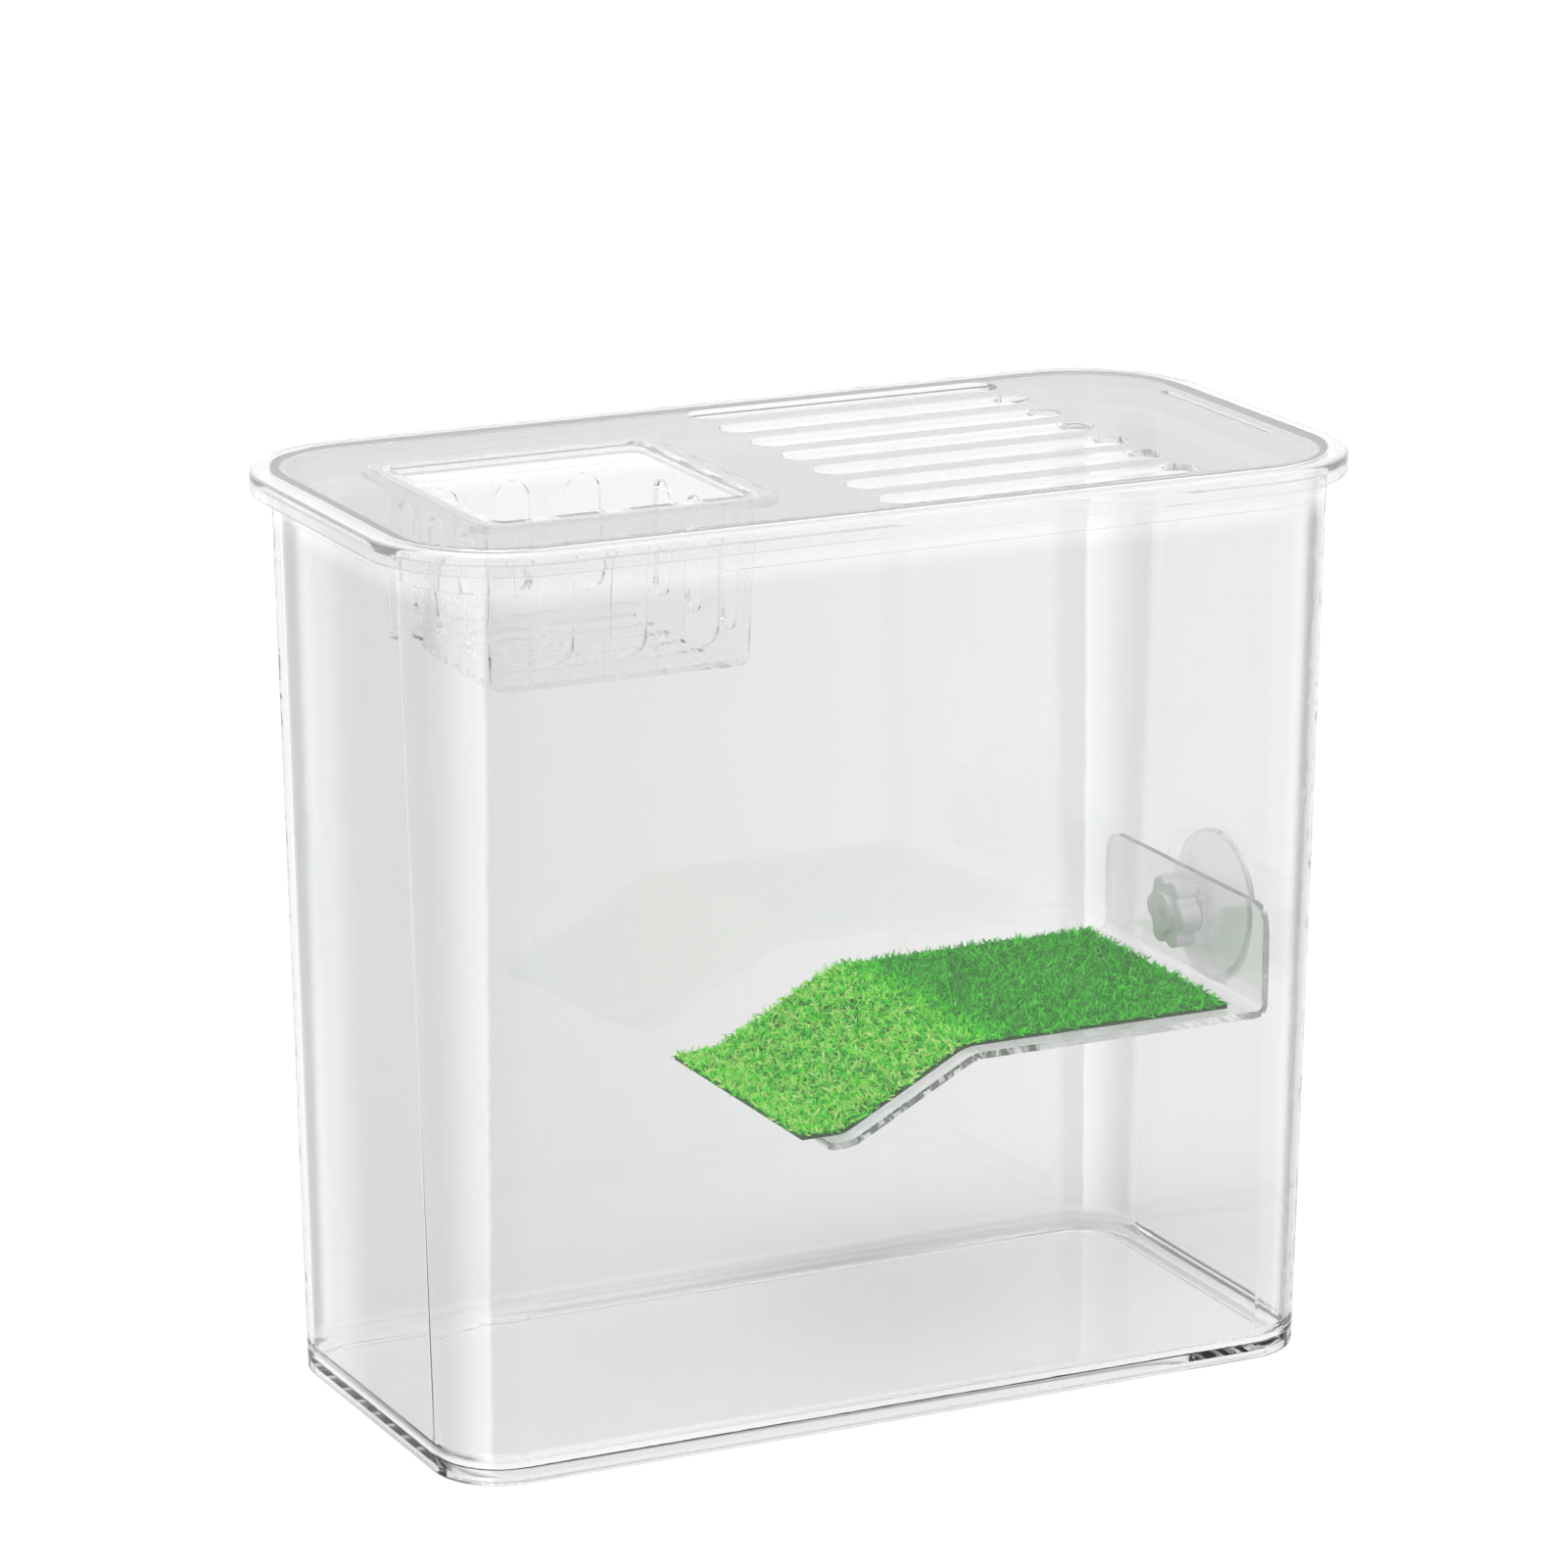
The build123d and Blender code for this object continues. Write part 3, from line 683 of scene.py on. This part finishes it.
def bladeMaterial():
    mat, tree = newMaterial("turf_blades")
    link = tree.links.new
    out = addNode(tree, "ShaderNodeOutputMaterial", (900, 0))
    blade = addNode(tree, "ShaderNodeBsdfPrincipled", (600, 0))
    blade.inputs["Roughness"].default_value = turfLook["roughness"]
    blade.inputs["Specular IOR Level"].default_value = turfLook["gloss"]
    blade.inputs["Sheen Weight"].default_value = turfLook["sheen"]
    blade.inputs["Sheen Roughness"].default_value = turfLook["sheenRoughness"]
    blade.inputs["Sheen Tint"].default_value = (*turfLook["sheenTint"], 1)
    along = addNode(tree, "ShaderNodeAttribute", (-700, 200), attribute_name="along")
    shade = addNode(tree, "ShaderNodeAttribute", (-700, -50), attribute_name="shade")
    where = addNode(tree, "ShaderNodeTexCoord", (-900, -300))
    patch = addNode(tree, "ShaderNodeTexNoise", (-700, -300))
    patch.inputs["Scale"].default_value = turfLook["clumps"]
    patch.inputs["Detail"].default_value = turfLook["clumpDetail"]
    clump = addRange(tree, (-620, -380), taken=turfLook["clumpFrom"])
    overSlope = {"taken": turfLook["slope"], "interpolation_type": "SMOOTHSTEP"}
    depth = addRange(tree, (-640, -620), given=turfLook["clumpSpeckle"], **overSlope)
    pale = addNode(tree, "ShaderNodeValToRGB", (-200, -100))
    colours = [turfLook[part] for part in ("deep", "middle", "light", "paleAndGlint")]
    setRamp(pale, list(zip(turfLook["tones"], colours)))
    place = addNode(tree, "ShaderNodeSeparateXYZ", (-700, -500))
    # painted light: the ramp's tones lifted
    slope = addRange(tree, (-520, -500), given=turfLook["rampPaintedLight"], **overSlope)
    chance = addNode(tree, "ShaderNodeMath", (-480, -50), operation="MULTIPLY")
    contrast = addRange(tree, (-640, -200), given=turfLook["speckle"], **overSlope)
    blotch = addNode(tree, "ShaderNodeMath", (-480, -200), operation="MULTIPLY")
    blend = addNode(tree, "ShaderNodeMath", (-400, -100), operation="ADD")
    mean = addNode(tree, "ShaderNodeMath", (-320, -100), operation="ADD")
    grow = addNode(tree, "ShaderNodeMix", (200, 100), data_type="RGBA")
    grow.inputs["A"].default_value = (*turfLook["root"], 1)
    rise = addRange(tree, (0, 200), taken=(0.0, turfLook["rootShare"]))
    link(where.outputs["Object"], patch.inputs["Vector"])
    link(where.outputs["Object"], place.inputs[0])
    link(place.outputs["X"], slope.inputs["Value"])
    link(place.outputs["X"], contrast.inputs["Value"])
    link(contrast.outputs["Result"], chance.inputs[1])
    link(shade.outputs["Fac"], chance.inputs[0])
    link(patch.outputs["Fac"], clump.inputs["Value"])
    link(place.outputs["X"], depth.inputs["Value"])
    link(clump.outputs["Result"], blotch.inputs[0])
    link(depth.outputs["Result"], blotch.inputs[1])
    link(chance.outputs[0], blend.inputs[0])
    link(blotch.outputs[0], blend.inputs[1])
    link(blend.outputs[0], mean.inputs[0])
    link(slope.outputs["Result"], mean.inputs[1])
    link(mean.outputs[0], pale.inputs["Fac"])
    link(along.outputs["Fac"], rise.inputs["Value"])
    link(rise.outputs["Result"], grow.inputs["Factor"])
    link(pale.outputs["Color"], grow.inputs["B"])
    link(grow.outputs["Result"], blade.inputs["Base Color"])
    link(blade.outputs[0], out.inputs["Surface"])
    return mat


def bladeTree():
    tree = bpy.data.node_groups.new("turf_blades", "GeometryNodeTree")
    face = tree.interface
    face.new_socket("Geometry", in_out="OUTPUT", socket_type="NodeSocketGeometry")
    face.new_socket("Geometry", in_out="INPUT", socket_type="NodeSocketGeometry")
    labels = "Blades per square metre", "Blade height", "Height spread", "Blade width", "Lean", "Bend"
    for label in labels:
        face.new_socket(label, in_out="INPUT", socket_type="NodeSocketFloat")
    face.new_socket("Seed", in_out="INPUT", socket_type="NodeSocketInt")
    face.new_socket("Material", in_out="INPUT", socket_type="NodeSocketMaterial")
    link = tree.links.new
    given = addNode(tree, "NodeGroupInput", (-1400, 0))
    out = addNode(tree, "NodeGroupOutput", (1400, 0))

    # one blade: a narrow strip that tapers and curls over
    strip = addNode(tree, "GeometryNodeMeshGrid", (-1100, -400))
    strip.inputs["Vertices X"].default_value = 2
    strip.inputs["Vertices Y"].default_value = turfLook["bladeRows"]
    strip.inputs["Size X"].default_value = 1.0
    strip.inputs["Size Y"].default_value = 1.0
    spot = addNode(tree, "GeometryNodeInputPosition", (-1100, -700))
    part = addNode(tree, "ShaderNodeSeparateXYZ", (-930, -700))
    along = addNode(tree, "ShaderNodeMath", (-760, -750), operation="ADD")
    along.inputs[1].default_value = 0.5
    thin = addRange(tree, (-600, -600), given=(1.0, turfLook["bladeTaper"]))
    wide = addNode(tree, "ShaderNodeMath", (-430, -600), operation="MULTIPLY")
    wider = addNode(tree, "ShaderNodeMath", (-270, -600), operation="MULTIPLY")
    tall = addNode(tree, "ShaderNodeMath", (-430, -780), operation="MULTIPLY")
    curl = addNode(tree, "ShaderNodeMath", (-600, -900), operation="MULTIPLY")
    over = addNode(tree, "ShaderNodeMath", (-430, -920), operation="MULTIPLY")
    join = addNode(tree, "ShaderNodeCombineXYZ", (-100, -700))
    shape = addNode(tree, "GeometryNodeSetPosition", (80, -450))
    mark = addNode(tree, "GeometryNodeStoreNamedAttribute", (-880, -400), domain="POINT")
    mark.inputs["Name"].default_value = "along"
    link(strip.outputs["Mesh"], mark.inputs["Geometry"])
    link(spot.outputs[0], part.inputs[0])
    link(part.outputs["Y"], along.inputs[0])
    link(along.outputs[0], mark.inputs["Value"])
    link(along.outputs[0], thin.inputs["Value"])
    link(part.outputs["X"], wide.inputs[0])
    link(thin.outputs["Result"], wide.inputs[1])
    link(wide.outputs[0], wider.inputs[0])
    link(given.outputs["Blade width"], wider.inputs[1])
    link(along.outputs[0], tall.inputs[0])
    link(given.outputs["Blade height"], tall.inputs[1])
    link(along.outputs[0], curl.inputs[0])
    link(along.outputs[0], curl.inputs[1])
    link(curl.outputs[0], over.inputs[0])
    link(given.outputs["Bend"], over.inputs[1])
    link(wider.outputs[0], join.inputs["X"])
    link(over.outputs[0], join.inputs["Y"])
    link(tall.outputs[0], join.inputs["Z"])
    link(mark.outputs["Geometry"], shape.inputs["Geometry"])
    link(join.outputs[0], shape.inputs["Position"])

    # blades over the upper face of the backing, turned and leant at random
    way = addNode(tree, "GeometryNodeInputNormal", (-1100, 300))
    up = addNode(tree, "ShaderNodeSeparateXYZ", (-930, 300))
    top = addNode(tree, "FunctionNodeCompare", (-760, 300), operation="GREATER_THAN")
    top.inputs["B"].default_value = turfLook["growsAbove"]
    scatter = addNode(tree, "GeometryNodeDistributePointsOnFaces", (-500, 200))
    spin = addNode(tree, "FunctionNodeRandomValue", (-500, -150), data_type="FLOAT_VECTOR")
    leanBack = addNode(tree, "ShaderNodeMath", (-900, -50), operation="MULTIPLY")
    leanBack.inputs[1].default_value = -1.0
    lowTurn = addNode(tree, "ShaderNodeCombineXYZ", (-720, -100))
    highTurn = addNode(tree, "ShaderNodeCombineXYZ", (-720, -220))
    highTurn.inputs["Z"].default_value = 2 * math.pi
    tilt = addNode(tree, "FunctionNodeRotateEuler", (-250, 0), rotation_type="EULER", space="LOCAL")
    short = addNode(tree, "ShaderNodeMath", (-500, 500), operation="SUBTRACT")
    short.inputs[0].default_value = 1.0
    size = addNode(tree, "FunctionNodeRandomValue", (-250, 450), data_type="FLOAT")
    size.inputs[3].default_value = 1.0
    plant = addNode(tree, "GeometryNodeInstanceOnPoints", (250, 200))
    luck = addNode(tree, "FunctionNodeRandomValue", (250, -150), data_type="FLOAT")
    shade = addNode(tree, "GeometryNodeStoreNamedAttribute", (500, 200), domain="INSTANCE")
    shade.inputs["Name"].default_value = "shade"
    real = addNode(tree, "GeometryNodeRealizeInstances", (750, 200))
    smooth = addNode(tree, "GeometryNodeSetShadeSmooth", (950, 200))
    finish = addNode(tree, "GeometryNodeSetMaterial", (1150, 200))
    link(way.outputs[0], up.inputs[0])
    link(up.outputs["Z"], top.inputs["A"])
    link(given.outputs["Geometry"], scatter.inputs["Mesh"])
    link(top.outputs["Result"], scatter.inputs["Selection"])
    link(given.outputs["Blades per square metre"], scatter.inputs["Density"])
    link(given.outputs["Seed"], scatter.inputs["Seed"])
    link(given.outputs["Lean"], leanBack.inputs[0])
    link(leanBack.outputs[0], lowTurn.inputs["X"])
    link(leanBack.outputs[0], lowTurn.inputs["Y"])
    link(given.outputs["Lean"], highTurn.inputs["X"])
    link(given.outputs["Lean"], highTurn.inputs["Y"])
    link(lowTurn.outputs[0], spin.inputs[0])
    link(highTurn.outputs[0], spin.inputs[1])
    link(given.outputs["Seed"], spin.inputs["Seed"])
    link(scatter.outputs["Rotation"], tilt.inputs["Rotation"])
    link(spin.outputs[0], tilt.inputs["Rotate By"])
    link(given.outputs["Height spread"], short.inputs[1])
    link(short.outputs[0], size.inputs[2])
    link(given.outputs["Seed"], size.inputs["Seed"])
    link(scatter.outputs["Points"], plant.inputs["Points"])
    link(shape.outputs["Geometry"], plant.inputs["Instance"])
    link(tilt.outputs[0], plant.inputs["Rotation"])
    link(size.outputs[1], plant.inputs["Scale"])
    link(plant.outputs["Instances"], shade.inputs["Geometry"])
    link(luck.outputs[1], shade.inputs["Value"])
    link(given.outputs["Seed"], luck.inputs["Seed"])
    link(shade.outputs["Geometry"], real.inputs["Geometry"])
    link(real.outputs["Geometry"], smooth.inputs[0])
    link(smooth.outputs[0], finish.inputs["Geometry"])
    link(given.outputs["Material"], finish.inputs["Material"])
    link(finish.outputs["Geometry"], out.inputs["Geometry"])
    return tree


def grown(name, base, values):
    seedling = bpy.data.objects.new(name + "_bed", base)
    scene.collection.objects.link(seedling)
    grow = seedling.modifiers.new("grow", "NODES")
    grow.node_group = bladeTree()
    for item in grow.node_group.interface.items_tree:
        if item.in_out == "INPUT" and item.name in values:
            grow[item.identifier] = values[item.name]
    bpy.context.view_layer.update()
    finished = seedling.evaluated_get(bpy.context.evaluated_depsgraph_get())
    mesh = bpy.data.meshes.new_from_object(finished)
    mesh.name = name
    seedling.modifiers.clear()
    bpy.data.objects.remove(seedling)
    return mesh


backing = placed("turf_sheet", backingMesh(), "turf", "turf_backing")
dress(backing, backingMaterial())
bladeMat = bladeMaterial()
pileMesh = grown(
    "turf_pile",
    backing.data.copy(),
    {
        "Blades per square metre": turfLook["bladesPerSquareMm"] * 1e6,
        "Blade height": turfLook["bladeHeight"],
        "Height spread": turfLook["heightSpread"],
        "Blade width": turfLook["bladeWidth"],
        "Lean": turfLook["lean"],
        "Bend": turfLook["bend"],
        "Seed": turfLook["seed"],
        "Material": bladeMat,
    },
)
pile = placed("turf_pile", pileMesh, "turf", "turf_pile_shelf", "turf_pile_ramp", "turf_pile_lip")
print("turf grown:", len(pileMesh.polygons), "faces")
